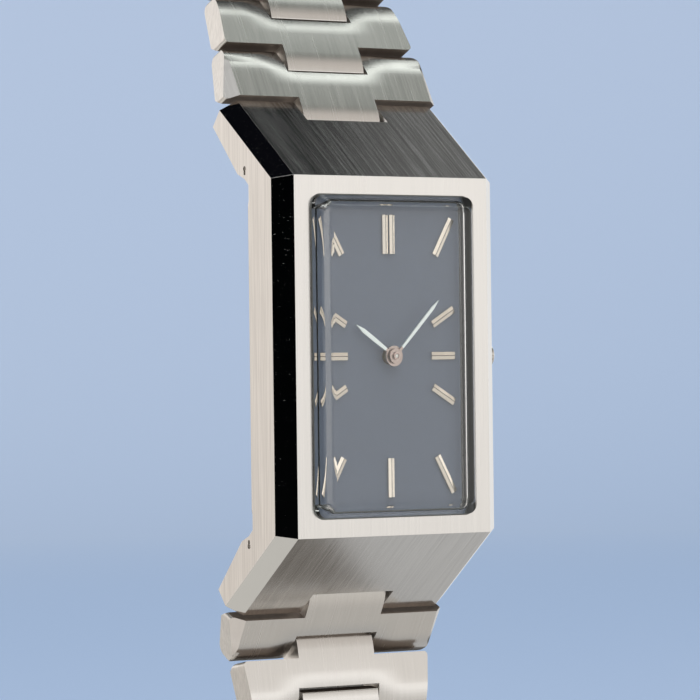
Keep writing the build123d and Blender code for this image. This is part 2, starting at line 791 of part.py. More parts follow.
def link_outline(pitch, reach=0):
    """Side view of a link: flat front, rounded far end and a tongue rounded about the pivot."""
    end = pitch + link_end_past_pin
    flat_end = end - link_round_run
    round_run = link_round_run + reach
    with BuildSketch(mode=Mode.PRIVATE) as outline:
        with BuildLine():
            front = Line((tongue_front_radius - tongue_end, link_front), (flat_end, link_front))
            curve = ThreePointArc(
                front @ 1,
                (
                    flat_end + round_run * sin(radians(45)),
                    link_end_front + (link_front - link_end_front) * sin(radians(45)),
                ),
                (end + reach, link_end_front),
            )
            far = Line(curve @ 1, (end, link_end_radius - link_rear))
            heel = RadiusArc(far @ 1, (end - link_end_radius, -link_rear), link_end_radius)
            rear = Line(heel @ 1, (0, -link_rear))
            toe = RadiusArc(rear @ 1, (-tongue_end, tongue_end - link_rear), tongue_end)
            near = Line(toe @ 1, (-tongue_end, link_front - tongue_front_radius))
            RadiusArc(near @ 1, front @ 0, tongue_front_radius)
        make_face()
    return outline.sketch


def bar_link(name, pivot, tilt, side, pitch, half_width_near, half_width_far, bevelled, reach):
    """A T-shaped link: a wide bar, a tongue towards the case and two ears round the next pin."""
    side_view, front_view = link_planes(pivot, tilt, side)
    link_end = pitch + link_end_past_pin + reach
    notch_start = pitch - notch_before_pin
    with BuildPart() as link:
        with BuildSketch(side_view):
            add(link_outline(pitch, reach))
        extrude(amount=half_width_near, both=True)
        with BuildSketch(front_view):
            with BuildLine():
                Polyline(
                    (-overrun, -tongue_half_width),
                    (link_shoulder, -tongue_half_width),
                    (link_shoulder, -half_width_near),
                    (link_end, -half_width_far),
                    (link_end, -notch_half_width),
                    (notch_start, -notch_half_width),
                    (notch_start, notch_half_width),
                    (link_end, notch_half_width),
                    (link_end, half_width_far),
                    (link_shoulder, half_width_near),
                    (link_shoulder, tongue_half_width),
                    (-overrun, tongue_half_width),
                    close=True,
                )
            make_face()
            plan_corners = [v for v in vertices() if abs(v.Y) > notch_half_width + notch_clearance]
            fillet(plan_corners, radius=link_plan_corner)
        extrude(amount=2 * link_rear, both=True, mode=Mode.INTERSECT)
        # A round seat about the next pin lets the next tongue turn.
        with BuildSketch(side_view):
            with Locations((pitch, 0)):
                Circle(link_rear + notch_clearance)
        extrude(amount=notch_half_width, both=True, mode=Mode.SUBTRACT)
        # The shoulder's lower edge is cleared so that the bracelet can curl.
        with BuildSketch(side_view):
            with BuildLine():
                Polyline(
                    (link_shoulder, -link_rear - overrun),
                    (link_shoulder + link_rear_corner, -link_rear),
                    (link_shoulder, -link_rear + link_rear_corner),
                    close=True,
                )
            make_face()
        extrude(amount=half_width_near + overrun, both=True, mode=Mode.SUBTRACT)
        # The running hole in the tongue and the holes in the ears.
        with BuildSketch(side_view):
            Circle(pin_radius + pin_gap)
            with Locations((pitch, 0)):
                Circle(pin_radius)
        extrude(amount=half_width_far - pin_inset, both=True, mode=Mode.SUBTRACT)
        if bevelled:
            for edge in (-1, 1):
                near_front = front_view.from_local_coords((link_shoulder, edge * half_front, link_front))
                near_side = front_view.from_local_coords(
                    (link_shoulder, edge * half_width_near, link_front - end_bevel_depth)
                )
                far_front = front_view.from_local_coords((link_end, edge * half_width_far, link_front))
                normal = (near_side - near_front).cross(far_front - near_front)
                if normal.dot(front_view.z_dir) < 0:
                    normal = -normal
                split(bisect_by=Plane(near_front, z_dir=normal), keep=Keep.BOTTOM)
    finish(link.part, name)


def link_pin(name, pivot, side, half_length_near):
    """The plain pin of one joint, held in the ears."""
    with BuildPart() as pin:
        with BuildSketch(Plane.YZ):
            with Locations((pivot[0], side * pivot[1])):
                Circle(pin_radius - gasket_clearance)
        extrude(amount=half_length_near, both=True)
    finish(pin.part, name)


lug_pivot = (y_at(lug_pin_depth), lug_pin_z)
with BuildPart() as lug_pins:
    for side in (-1, 1):
        with BuildSketch(Plane.YZ):
            with Locations((lug_pivot[0], side * lug_pivot[1])):
                Circle(pin_radius - gasket_clearance)
        extrude(amount=half_width - pin_inset - gasket_clearance, both=True)
finish(lug_pins.part, "lug_pins")

chain_ends = {}
for chain, side, tilts, width_shares in (
    ("upper", 1, upper_tilts, upper_width_shares),
    ("lower", -1, lower_tilts, lower_width_shares),
):
    pivot = lug_pivot
    for number, tilt in enumerate(tilts[:-1], start=1):
        near = width_shares[number - 1] * half_width
        first = number == 1
        pitch = lower_first_pitch if first and chain == "lower" else link_pitch
        far = near - (first_link_taper if first else link_taper)
        reach = lower_first_reach if first and chain == "lower" else 0
        bar_link(f"{chain}_link_{number}", pivot, tilt, side, pitch, near, far, first, reach)
        pivot = step_along(pivot, tilt, pitch)
        link_pin(f"{chain}_pin_{number}", pivot, side, far - pin_inset - gasket_clearance)
        print(f"{chain} joint {number + 1}: y {pivot[0]:.3f} z {side * pivot[1]:.3f} tilt {tilts[number]}")
    chain_ends[chain] = pivot

# Clasp
# The upper chain ends in an open frame with a cross bar; the lower one ends in a hook plate.
frame_side, frame_front = link_planes(chain_ends["upper"], upper_tilts[-1], 1)
hook_side, hook_front = link_planes(chain_ends["lower"], lower_tilts[-1], -1)
block_end = link_shoulder + clasp_block
rail_top = link_front - cover_thickness - cover_gap
bar_along = clasp_frame_length - clasp_bar_from_end
bar_out = rail_top - clasp_bar_radius - cover_gap
trough_half_width = clasp_half_width - clasp_rail_width


def tongue_shoulders(front_view, half_width_there):
    """Blocks that leave only the tongue between the last link's ears."""
    with BuildPart(mode=Mode.PRIVATE) as blocks:
        with BuildSketch(front_view):
            for edge, align in ((-1, Align.MAX), (1, Align.MIN)):
                with Locations((-overrun, edge * tongue_half_width)):
                    Rectangle(link_shoulder + overrun, half_width_there, align=(Align.MIN, align))
        extrude(amount=2 * link_rear, both=True)
    return blocks.part


with BuildPart() as clasp_frame:
    with BuildSketch(frame_side):
        add(link_outline(link_pitch))
        with Locations((block_end, -link_rear)):
            Rectangle(case_depth, case_depth, align=(Align.MIN, Align.MIN), mode=Mode.SUBTRACT)
        with Locations((block_end, -link_rear)):
            Rectangle(clasp_frame_length - block_end, link_rear + rail_top, align=(Align.MIN, Align.MIN))
    extrude(amount=clasp_half_width, both=True)
    # The trough between the rails, and beyond it the window that the bar crosses.
    with BuildSketch(frame_side):
        with Locations((block_end, clasp_floor - link_rear)):
            Rectangle(clasp_frame_length, case_depth, align=(Align.MIN, Align.MIN))
        with Locations((clasp_window_start, 0)):
            Rectangle(clasp_frame_length, case_depth, align=(Align.MIN, Align.CENTER))
    extrude(amount=trough_half_width, both=True, mode=Mode.SUBTRACT)
    with BuildSketch(frame_side):
        with Locations((bar_along, bar_out)):
            Circle(clasp_bar_radius)
        with Locations((clasp_cover_bar_along, 0)):
            Circle(cover_bar_radius)
    extrude(amount=trough_half_width, both=True)
    with BuildSketch(frame_side):
        Circle(pin_radius + pin_gap)
    extrude(amount=clasp_half_width, both=True, mode=Mode.SUBTRACT)
    add(tongue_shoulders(frame_front, clasp_half_width), mode=Mode.SUBTRACT)
finish(clasp_frame.part, "clasp_frame")

# The cover's knuckle turns on the frame's cover bar; its plate closes over both rails.
with BuildPart() as clasp_cover:
    with BuildSketch(frame_side):
        with Locations((clasp_cover_bar_along, 0)):
            Circle(cover_knuckle_radius)
        with Locations((clasp_cover_bar_along, cover_knuckle_radius)):
            Rectangle(2 * cover_knuckle_radius, cover_thickness, align=(Align.MIN, Align.MAX))
    extrude(amount=trough_half_width - cover_gap, both=True)
    with BuildSketch(frame_side):
        with Locations((clasp_cover_bar_along + cover_knuckle_radius, link_front)):
            Rectangle(
                clasp_frame_length + cover_lip - clasp_cover_bar_along - cover_knuckle_radius,
                cover_thickness,
                align=(Align.MIN, Align.MAX),
            )
        with Locations((clasp_frame_length + cover_gap, link_front)):
            Rectangle(cover_lip - cover_gap, link_front, align=(Align.MIN, Align.MAX))
    extrude(amount=clasp_half_width, both=True)
    with BuildSketch(frame_side):
        with Locations((clasp_cover_bar_along, 0)):
            Circle(cover_bar_radius + pin_gap)
    extrude(amount=clasp_half_width, both=True, mode=Mode.SUBTRACT)
finish(clasp_cover.part, "clasp_cover")

with BuildPart() as clasp_hook:
    with BuildSketch(hook_side):
        add(link_outline(link_pitch))
        with Locations((block_end, -link_rear)):
            Rectangle(case_depth, case_depth, align=(Align.MIN, Align.MIN), mode=Mode.SUBTRACT)
        with Locations((block_end, -link_rear)):
            Rectangle(
                clasp_hook_length - block_end, clasp_hook_thickness, align=(Align.MIN, Align.MIN)
            )
        with Locations((clasp_hook_length, -link_rear)):
            Rectangle(clasp_hook_thickness, link_rear + clasp_hook_lip, align=(Align.MAX, Align.MIN))
    extrude(amount=clasp_hook_half_width, both=True)
    with BuildSketch(hook_side):
        Circle(pin_radius + pin_gap)
    extrude(amount=clasp_half_width, both=True, mode=Mode.SUBTRACT)
    add(tongue_shoulders(hook_front, clasp_half_width), mode=Mode.SUBTRACT)
finish(clasp_hook.part, "clasp_hook")

for chain, side in (("upper", 1), ("lower", -1)):
    pivot = chain_ends[chain]
    print(f"{chain} clasp joint: y {pivot[0]:.3f} z {side * pivot[1]:.3f}")
cover_pivot = frame_side.from_local_coords((clasp_cover_bar_along, 0, 0))
print(f"cover joint: y {cover_pivot.Y:.3f} z {cover_pivot.Z:.3f}")
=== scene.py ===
# %% [markdown]
# # A rectangular steel wristwatch, dressed for the camera
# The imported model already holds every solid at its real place. This notebook gives each one the
# finish of the real object: brushed flats, mirror-polished bevels, a slate dial under clear acrylic.
# Everything is in metres, X to 3 o'clock, Y towards the wrist and Z to 12 o'clock.

# %% Load the frame
import json
from math import cos, pi, radians, sin

import bmesh
import bpy
from mathutils import Matrix, Vector

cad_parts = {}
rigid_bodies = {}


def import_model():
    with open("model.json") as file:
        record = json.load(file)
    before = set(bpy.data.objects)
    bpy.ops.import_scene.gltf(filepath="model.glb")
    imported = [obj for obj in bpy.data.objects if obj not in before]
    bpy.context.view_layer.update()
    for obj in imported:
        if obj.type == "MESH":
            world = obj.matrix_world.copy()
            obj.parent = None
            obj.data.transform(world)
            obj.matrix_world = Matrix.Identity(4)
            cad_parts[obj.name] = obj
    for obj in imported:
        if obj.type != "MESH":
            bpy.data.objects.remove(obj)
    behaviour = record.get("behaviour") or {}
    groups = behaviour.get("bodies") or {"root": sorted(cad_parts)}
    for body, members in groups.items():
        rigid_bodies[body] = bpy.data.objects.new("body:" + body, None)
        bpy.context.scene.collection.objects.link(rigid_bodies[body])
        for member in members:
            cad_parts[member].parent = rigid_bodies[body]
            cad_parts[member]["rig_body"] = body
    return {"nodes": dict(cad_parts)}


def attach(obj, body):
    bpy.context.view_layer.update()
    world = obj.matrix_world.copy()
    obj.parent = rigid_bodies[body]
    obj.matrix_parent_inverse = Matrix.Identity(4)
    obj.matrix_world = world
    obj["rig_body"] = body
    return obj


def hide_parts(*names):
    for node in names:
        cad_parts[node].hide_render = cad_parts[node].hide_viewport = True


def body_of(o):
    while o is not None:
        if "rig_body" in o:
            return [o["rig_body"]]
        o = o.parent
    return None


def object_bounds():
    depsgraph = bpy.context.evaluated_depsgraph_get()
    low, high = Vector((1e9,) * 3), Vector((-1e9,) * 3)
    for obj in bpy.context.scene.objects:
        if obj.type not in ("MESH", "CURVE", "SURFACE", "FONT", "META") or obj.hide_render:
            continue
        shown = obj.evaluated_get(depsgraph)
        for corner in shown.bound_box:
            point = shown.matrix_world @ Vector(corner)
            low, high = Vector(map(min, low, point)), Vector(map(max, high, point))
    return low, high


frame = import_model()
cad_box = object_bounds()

MM = 0.001
MERGE_DISTANCE = 0.0001 * MM
scene = bpy.context.scene

# %% [markdown]
# ## The camera
# The photograph was taken from the left of the dial with a long lens. Its place follows from two
# angles and a distance from a point on the case front, and a third angle is its roll, so that each
# can be read and changed.

# %% Camera at the photograph's angle
VIEW_TURN = radians(37)
VIEW_RISE = radians(-0.37)
VIEW_ROLL = radians(-0.71)
VIEW_DISTANCE = 364 * MM
VIEW_TARGET = Vector((-4.5, -7.9, 0.52)) * MM
SENSOR_WIDTH = 36.0
PHOTO_FOCAL_PIXELS = 4447
PHOTO_WIDTH_PIXELS = 700

backward = Vector(
    (-sin(VIEW_TURN) * cos(VIEW_RISE), -cos(VIEW_TURN) * cos(VIEW_RISE), sin(VIEW_RISE))
)
camera_data = bpy.data.cameras.new("camera")
camera_data.sensor_width = SENSOR_WIDTH
camera_data.lens = PHOTO_FOCAL_PIXELS / PHOTO_WIDTH_PIXELS * SENSOR_WIDTH
camera_data.clip_start = 0.01
camera_data.clip_end = 20
camera = bpy.data.objects.new("camera", camera_data)
scene.collection.objects.link(camera)
facing = (-backward).to_track_quat("-Z", "Y").to_matrix()
camera.rotation_euler = (facing @ Matrix.Rotation(VIEW_ROLL, 3, "Z")).to_euler()
camera.location = VIEW_TARGET + backward * VIEW_DISTANCE
scene.camera = camera
print("camera at", [round(v, 4) for v in camera.location], "lens", round(camera_data.lens, 1))

# %% [markdown]
# ## Shader maths in plain Python
# A procedural material is a small sum. `Wire` wraps a node's socket, so that `grain * 0.2 + 0.9`
# adds its Math nodes by itself. `Bench` holds one node tree and adds any other node from its type
# and its inputs. `Finish` is the bench of one material, and feeds its surface shader by name.

# %% Sockets that can be added and multiplied
class Wire:
    """A value that flows through one node tree."""

    def __init__(self, bench, socket):
        self.bench = bench
        self.socket = socket

    def __add__(self, other):
        return self.bench.math("ADD", self, other)

    def __sub__(self, other):
        return self.bench.math("SUBTRACT", self, other)

    def __mul__(self, other):
        return self.bench.math("MULTIPLY", self, other)

    def __pow__(self, other):
        return self.bench.math("POWER", self, other)


class Bench:
    """One node tree, with the calls that build it."""

    def __init__(self, tree):
        self.tree = tree

    def node(self, kind, *values, settings=None, **named):
        """Adds a node, feeds its inputs in order or by name, and gives its outputs."""
        made = self.tree.nodes.new(kind)
        for key, value in (settings or {}).items():
            setattr(made, key, value)
        inputs = [socket for socket in made.inputs if socket.enabled]
        for socket, value in zip(inputs, values):
            self.feed(socket, value)
        for key, value in named.items():
            self.feed(next(s for s in inputs if s.name == key.replace("_", " ")), value)
        return {socket.name: Wire(self, socket) for socket in made.outputs if socket.enabled}

    def feed(self, socket, value):
        """Links a wire to a socket, or sets the socket to a number or a colour."""
        if isinstance(value, Wire):
            self.tree.links.new(value.socket, socket)
        elif hasattr(value, "__len__") and len(value) == 3 and len(socket.default_value) == 4:
            socket.default_value = (*value, 1.0)
        else:
            socket.default_value = value

    def math(self, operation, *values):
        return self.node("ShaderNodeMath", *values, settings={"operation": operation})["Value"]

    def mix(self, amount, first, second):
        """Blends two colours by a wire."""
        settings = {"data_type": "RGBA"}
        return self.node("ShaderNodeMix", amount, A=first, B=second, settings=settings)["Result"]

    def ease(self, value, low, high):
        """A smooth step from 0 to 1 while the value goes from low to high."""
        settings = {"interpolation_type": "SMOOTHSTEP"}
        return self.node("ShaderNodeMapRange", value, low, high, settings=settings)["Result"]

    def ramp(self, value, stops):
        """A colour ramp with a colour at each stop, from the positions in rising order."""
        made = self.node("ShaderNodeValToRGB", value)["Color"]
        elements = made.socket.node.color_ramp.elements
        while len(elements) < len(stops):
            elements.new(1.0)
        for element, (position, colour) in zip(elements, stops):
            element.position = position
            element.color = (*colour, 1.0)
        return made


class Finish(Bench):
    """A material: its node tree and its surface shader, with the piece's own coordinates."""

    def __init__(self, name, **constants):
        self.material = bpy.data.materials.new(name)
        self.material.use_nodes = True
        super().__init__(self.material.node_tree)
        self.surface = self.tree.nodes["Principled BSDF"]
        self.place = self.node("ShaderNodeTexCoord")["Object"]
        self.set(**constants)

    def set(self, **values):
        """Feeds the surface shader's inputs by name."""
        for key, value in values.items():
            self.feed(self.surface.inputs[key.replace("_", " ")], value)

    def noise(self, scale, turn=(0, 0, 0), detail=2.0, roughness=0.5):
        """Noise whose scale is in cells per metre along each of the turned axes."""
        turned = self.node("ShaderNodeMapping", self.place, Rotation=turn)["Vector"]
        stretched = self.node("ShaderNodeMapping", turned, Scale=scale)["Vector"]
        grain = {"Scale": 1.0, "Detail": detail, "Roughness": roughness}
        return self.node("ShaderNodeTexNoise", stretched, **grain)["Fac"]

    def grooves(self, height, depth):
        """Turns a height from 0 to 1 into grooves of a depth in metres."""
        bump = {"Strength": 1.0, "Distance": depth, "Height": height}
        self.set(Normal=self.node("ShaderNodeBump", **bump)["Normal"])


def scaled(shade, factor):
    """A colour made darker or brighter, with no part above 1."""
    return tuple(min(v * factor, 1) for v in shade)


print("shader helpers ready")

# %% [markdown]
# ## Light for polished steel
# Polished steel shows its surroundings more than itself. So the surroundings are painted on the
# world as two rings of soft boxes, one that the right-facing reflections meet and one for the left,
# each a ramp over the angle from straight ahead, up over the watch and round behind it.

# %% Two rings of soft boxes round the watch
# Each stop has its angle in degrees and its brightness, as one number or as red, green and blue.
PEAK = 1.5
RIGHT_RING = [
    (-180, 0.9), (-166, 0.85), (-150, 0.03), (-122, 0.12), (-113, 0.42), (-100, 0.52), (-80, 0.42),
    (-62, (0.5, 0.48, 0.45)), (-46, (0.55, 0.52, 0.49)), (-30, (0.64, 0.61, 0.57)),
    (-12, (0.62, 0.6, 0.575)), (0, (1.06, 1.03, 1.0)), (7, (1.28, 1.25, 1.22)),
    (13, (0.86, 0.82, 0.78)), (20, (0.6, 0.56, 0.52)), (30, (0.64, 0.59, 0.55)),
    (38, (0.58, 0.54, 0.5)), (47, (0.3, 0.29, 0.27)), (53, (0.14, 0.155, 0.142)),
    (58, (0.14, 0.153, 0.145)), (62, (0.34, 0.37, 0.35)), (67, (0.85, 0.9, 0.86)),
    (71, (1.4, 1.48, 1.42)), (82, (1.4, 1.48, 1.42)), (88, 0.17), (104, 0.16), (150, 0.03),
    (166, 0.85), (180, 0.9),
]
LEFT_RING = [
    (-180, (0.82, 0.75, 0.69)), (-168, (0.66, 0.62, 0.57)), (-157, (0.42, 0.41, 0.39)),
    (-146, (0.5, 0.48, 0.45)), (-120, (0.74, 0.7, 0.65)), (-90, (0.62, 0.61, 0.58)),
    (-62, (0.75, 0.7, 0.66)), (-46, (0.65, 0.6, 0.56)), (-34, 0.01), (0, (0.0005, 0.0008, 0.001)),
    (15, 0.001), (18, 1.45), (40, 1.45), (46, 0.55), (72, 0.55), (80, 0.003),
    (100, (0.003, 0.0035, 0.006)), (120, 0.3), (145, (0.7, 0.68, 0.65)), (160, (0.95, 0.92, 0.89)),
    (173, (1.1, 1.05, 1.0)), (180, (0.76, 0.7, 0.64)),
]
# Directions pass from the left ring to the right one between these values of X.
RING_SEAM = (-0.25, -0.08)


def radiance(shade):
    """A ramp colour from a brightness: the ramp ends at 1, and the world's strength lifts it."""
    return tuple(v / PEAK for v in (shade if isinstance(shade, tuple) else (shade,) * 3))


world = bpy.data.worlds.new("studio")
world.use_nodes = True
scene.world = world
sky = Bench(world.node_tree)
toward = sky.node("ShaderNodeSeparateXYZ", sky.node("ShaderNodeTexCoord")["Generated"])
round_the_watch = sky.math("ARCTAN2", toward["Z"], toward["Y"] * -1) * (1 / (2 * pi)) + 0.5
rings = [
    sky.ramp(round_the_watch, [(angle / 360 + 0.5, radiance(shade)) for angle, shade in ring])
    for ring in (LEFT_RING, RIGHT_RING)
]
background = world.node_tree.nodes["Background"].inputs
sky.feed(background["Color"], sky.mix(sky.ease(toward["X"], *RING_SEAM), *rings))
background["Strength"].default_value = PEAK
scene.view_settings.view_transform = "Standard"
print("left and right rings of", len(LEFT_RING), "and", len(RIGHT_RING), "stops")

# %% [markdown]
# ## Floor and lamp
# The floor is a wide pale bowl. Only the camera sees it, so it doesn't wash out the reflections.
# One soft lamp lights the matt surfaces and leaves the reflections to the rings.

# %% Floor bowl and lamp
BOWL_RADIUS = 1.6
BOWL_FILLET = 0.5
BOWL_HEIGHT = 2.5
BOWL_STEPS = 64
FILLET_STEPS = 16
FLOOR_GAP = 0.1 * MM
PAPER_CELLS = (0.7, 0.7, 0.7)
LAMP_PLACE = Vector((-0.2, -0.35, 0.9))
LAMP_SIZE = 0.8
LAMP_WATTS = 2.5
floor_z = cad_box[0][2] - FLOOR_GAP


def new_object(name, source):
    """Makes a linked object at the origin from a bmesh, which is then freed."""
    mesh = bpy.data.meshes.new(name)
    source.to_mesh(mesh)
    source.free()
    made = bpy.data.objects.new(name, mesh)
    scene.collection.objects.link(made)
    return made


def hide_from(made, *rays):
    """Hides an object from some kinds of rays."""
    for ray in rays:
        setattr(made, "visible_" + ray, False)


outline = [(0, floor_z), (BOWL_RADIUS - BOWL_FILLET, floor_z)]
for step in range(1, FILLET_STEPS + 1):
    lift = pi / 2 * step / FILLET_STEPS
    outline.append(
        (BOWL_RADIUS - BOWL_FILLET * (1 - sin(lift)), floor_z + BOWL_FILLET * (1 - cos(lift)))
    )
outline.append((BOWL_RADIUS, floor_z + BOWL_HEIGHT))
bowl = bmesh.new()
profile = [bowl.verts.new((x, 0, z)) for x, z in outline]
for first, second in zip(profile, profile[1:]):
    bowl.edges.new((first, second))
bmesh.ops.spin(
    bowl,
    geom=bowl.verts[:] + bowl.edges[:],
    cent=(0, 0, 0),
    axis=(0, 0, 1),
    angle=2 * pi,
    steps=BOWL_STEPS,
    use_merge=True,
    use_duplicate=False,
)
bmesh.ops.remove_doubles(bowl, verts=bowl.verts, dist=MERGE_DISTANCE)
bmesh.ops.recalc_face_normals(bowl, faces=bowl.faces)
bmesh.ops.reverse_faces(bowl, faces=bowl.faces)
for face in bowl.faces:
    face.smooth = True
floor = new_object("floor", bowl)
hide_from(floor, "glossy", "diffuse", "transmission", "shadow")

paper = Finish("paper", Roughness=0.9, Emission_Strength=0.35)
paper_cloud = paper.ease(paper.noise(PAPER_CELLS, detail=0.0), 0.3, 0.7)
paper_tone = paper.mix(paper_cloud, (0.36, 0.49, 0.72), (0.48, 0.59, 0.79))
paper.set(Base_Color=paper_tone, Emission_Color=paper_tone)
floor.data.materials.append(paper.material)

lamp_data = bpy.data.lights.new("overhead", "AREA")
lamp_data.shape = "SQUARE"
lamp_data.size = LAMP_SIZE
lamp_data.energy = LAMP_WATTS
lamp = bpy.data.objects.new("overhead", lamp_data)
lamp.location = LAMP_PLACE
lamp.rotation_euler = (-LAMP_PLACE).to_track_quat("-Z", "Y").to_euler()
hide_from(lamp, "glossy")
scene.collection.objects.link(lamp)
print("floor at", round(floor_z, 4))

# %% [markdown]
# ## Two flags
# A photographer holds dark cards near polished metal to shade a part of its reflection. One card
# hangs above the watch and one lies below it, and each darkens the left of the slope that faces it.
# Only reflections see them.

# %% Cards that darken the left of each slope
FLAG_HEIGHT = 80
FLAG_ABOVE_SHADE = (0.01, 0.011, 0.013)
FLAG_BELOW_SHADE = (0.165, 0.151, 0.137)
FELT_CELLS = (90, 90, 90)


def flag(name, height, corners, shade):
    """A level card from its height and its corners' x and y, all in millimetres."""
    card = bmesh.new()
    corner_verts = [card.verts.new((x * MM, y * MM, height * MM)) for x, y in corners]
    bmesh.ops.contextual_create(card, geom=corner_verts)
    made = new_object(name, card)
    felt = Finish(name, Base_Color=(0, 0, 0), Roughness=1.0, Emission_Strength=1.0)
    felt.set(Emission_Color=felt.mix(felt.noise(FELT_CELLS), scaled(shade, 0.9), shade))
    made.data.materials.append(felt.material)
    hide_from(made, "camera", "diffuse", "transmission", "shadow")


flag("flag_above", FLAG_HEIGHT, [(10, -10), (47.5, -10), (47.5, 45), (10, 45)], FLAG_ABOVE_SHADE)
flag("flag_below", -FLAG_HEIGHT, [(5, -35), (32, -5), (58, 22), (58, 45), (5, 45)], FLAG_BELOW_SHADE)

# %% [markdown]
# ## One steel, many finishes
# The watch is one steel throughout, and only its finish changes: satin on the front frame, long
# strokes on the slopes, flanks and links, mirror polish on the bevels, worn edges made lighter as a
# painted highlight, and inside the joints a dark steel for their grime and for painted shade. Strokes
# are a noise stretched along the stroke, which changes the colour and the roughness a little and
# gives the surface its grooves.

# %% Finishes for steel
STEEL = (0.80, 0.785, 0.76)
SLOPE_TURN = radians(39.8)
# Noise cells per metre: along the fine and the broad strokes, then along each axis.
ALONG_FINE, ALONG_BROAD = 120, 60
CLOUD_CELLS = (90, 90, 90)
HAZE_CELLS = (240, 240, 240)
SCRATCH_CELLS = (11000, 260, 11000)
SPECK_CELLS = (12000, 12000, 12000)
SCRATCH_TURNS = ((0.3, 0.5, 0.2), (1.1, -0.6, 0.9), (-0.7, 0.9, 2.0))


def brushed(
    name, across, roughness, turn=(0, 0, 0), tint=STEEL, depth=0.004 * MM, cells=9000, contrast=0.14
):
    """Steel with long strokes. across has a one for each axis that the strokes lie across."""
    made = Finish(name, Metallic=1.0)
    fine = tuple(cells if crossing else ALONG_FINE for crossing in across)
    broad = tuple(cells / 4 if crossing else ALONG_BROAD for crossing in across)
    hair = made.noise(fine, turn, detail=3.0, roughness=0.7)
    band = made.noise(broad, turn, detail=2.0)
    cloud = made.noise(CLOUD_CELLS, detail=3.0)
    lit = made.ease(hair * 0.72 + band * 0.12 + cloud * 0.16, 0.3, 0.7)
    # Noises average one half, so the two add 0.1 to the roughness, which is taken off first.
    made.set(
        Base_Color=made.mix(lit, scaled(tint, 1 - contrast), scaled(tint, 1 + contrast * 0.7)),
        Roughness=hair * 0.12 + band * 0.08 + (roughness - 0.1),
    )
    made.grooves(hair * 0.6 + band * 0.4, depth)
    return made


def polished(name, tint, roughness, scratch_depth=0.0012 * MM):
    """Mirror-polished steel with the fine scratches and specks of wear."""
    made = Finish(name, Metallic=1.0)
    lines = [made.ease(made.noise(SCRATCH_CELLS, turn, detail=1.0), 0.75, 0.8) for turn in SCRATCH_TURNS]
    scratches = lines[0] + lines[1] + lines[2]
    specks = made.ease(made.noise(SPECK_CELLS, detail=1.0), 0.785, 0.83)
    haze = made.noise(HAZE_CELLS, detail=3.0)
    made.set(
        Base_Color=made.mix(haze, scaled(tint, 0.95), tint),
        Roughness=scratches * 0.18 + specks * 0.25 + haze * 0.02 + roughness,
    )
    made.grooves(scratches + specks, scratch_depth)
    return made


satin_front = brushed("satin_front", (1, 1, 0), 0.25, depth=0.0015 * MM, cells=6500, contrast=0.045)
flank_strokes = brushed("flank_strokes", (1, 1, 0), 0.32, tint=(0.82, 0.795, 0.765), contrast=0.15)
mirror = polished("mirror", STEEL, 0.02)
# Worn edges whose colour is lighter than the steel's: real wear and a painted highlight.
worn_edge = Finish("worn_edge", Metallic=1.0)
edge_wear_and_sheen = worn_edge.noise((1500, 1500, 1500))
worn_edge.set(
    Base_Color=worn_edge.mix(edge_wear_and_sheen, (0.86, 0.84, 0.82), (0.98, 0.97, 0.95)),
    Roughness=edge_wear_and_sheen * 0.1 + 0.2,
)
slope_strokes_up = brushed(
    "slope_strokes_up", (1, 0, 1), 0.22, (-SLOPE_TURN, 0, 0), depth=0.006 * MM, cells=5500, contrast=0.42
)
slope_strokes_down = brushed(
    "slope_strokes_down", (1, 0, 1), 0.16, (SLOPE_TURN, 0, 0), depth=0.002 * MM, cells=6500, contrast=0.1
)
link_strokes = brushed("link_strokes", (1, 0, 0), 0.25, depth=0.0018 * MM, cells=6500, contrast=0.04)
# The ends inside the joints: real grime, and painted shade where the links hide each other.
joint_steel = brushed("joint_steel", (1, 0, 0), 0.45, tint=(0.28, 0.235, 0.205), cells=5000)
print("steel finishes", [m.name for m in bpy.data.materials])

# %% [markdown]
# ## Real edges
# CAD edges are perfectly sharp, and no real edge is. A copy of each node's mesh is merged, its
# coplanar triangles are dissolved, and a tiny bevel rounds the edges so that they catch the light.
# Each face then takes the finish of the direction that it looks in. The normals that came with the
# CAD's triangles are dropped, since they would bend the light across the new faces.

# %% Rounded copies of CAD nodes
SAME_PLANE_ANGLE = radians(0.3)
EDGE_SEGMENTS = 2
EDGE_LIMIT = 25


def merged_copy(node):
    """A bmesh of a CAD node with its doubles merged and its flat faces joined."""
    shape = bmesh.new()
    shape.from_mesh(frame["nodes"][node].data)
    bmesh.ops.remove_doubles(shape, verts=shape.verts, dist=MERGE_DISTANCE)
    bmesh.ops.dissolve_limit(
        shape,
        angle_limit=SAME_PLANE_ANGLE,
        verts=shape.verts,
        edges=shape.edges,
        use_dissolve_boundaries=False,
    )
    return shape


def finished_piece(name, shape, finishes):
    """An object from a bmesh, with its finishes and without the normals of the CAD's triangles."""
    piece = new_object(name, shape)
    if "custom_normal" in piece.data.attributes:
        piece.data.attributes.remove(piece.data.attributes["custom_normal"])
    for finish in finishes:
        piece.data.materials.append(finish.material)
    return piece


def rounded(node, edge, choose, finishes, edge_index=-1, reshape=None, limit=EDGE_LIMIT):
    """A copy of a CAD node with softened edges, one finish per face, standing for the node.

    choose gives a face's finish from its normal. Edges sharper than the limit, in degrees, are
    rounded, and take the finish of edge_index, or their neighbour's if it is -1.
    """
    shape = merged_copy(node)
    if reshape:
        reshape(shape)
    for face in shape.faces:
        face.smooth = True
        face.material_index = choose(face.normal)
    piece = finished_piece(node + "_finished", shape, finishes)
    soft = piece.modifiers.new("soft edges", "BEVEL")
    soft.width = edge
    soft.segments = EDGE_SEGMENTS
    soft.limit_method = "ANGLE"
    soft.angle_limit = radians(limit)
    soft.harden_normals = True
    soft.material = edge_index
    soft.use_clamp_overlap = True
    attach(piece, body_of(frame["nodes"][node])[0])
    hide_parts(node)
    return piece


print("edges of", EDGE_SEGMENTS, "segments over", EDGE_LIMIT, "degrees")
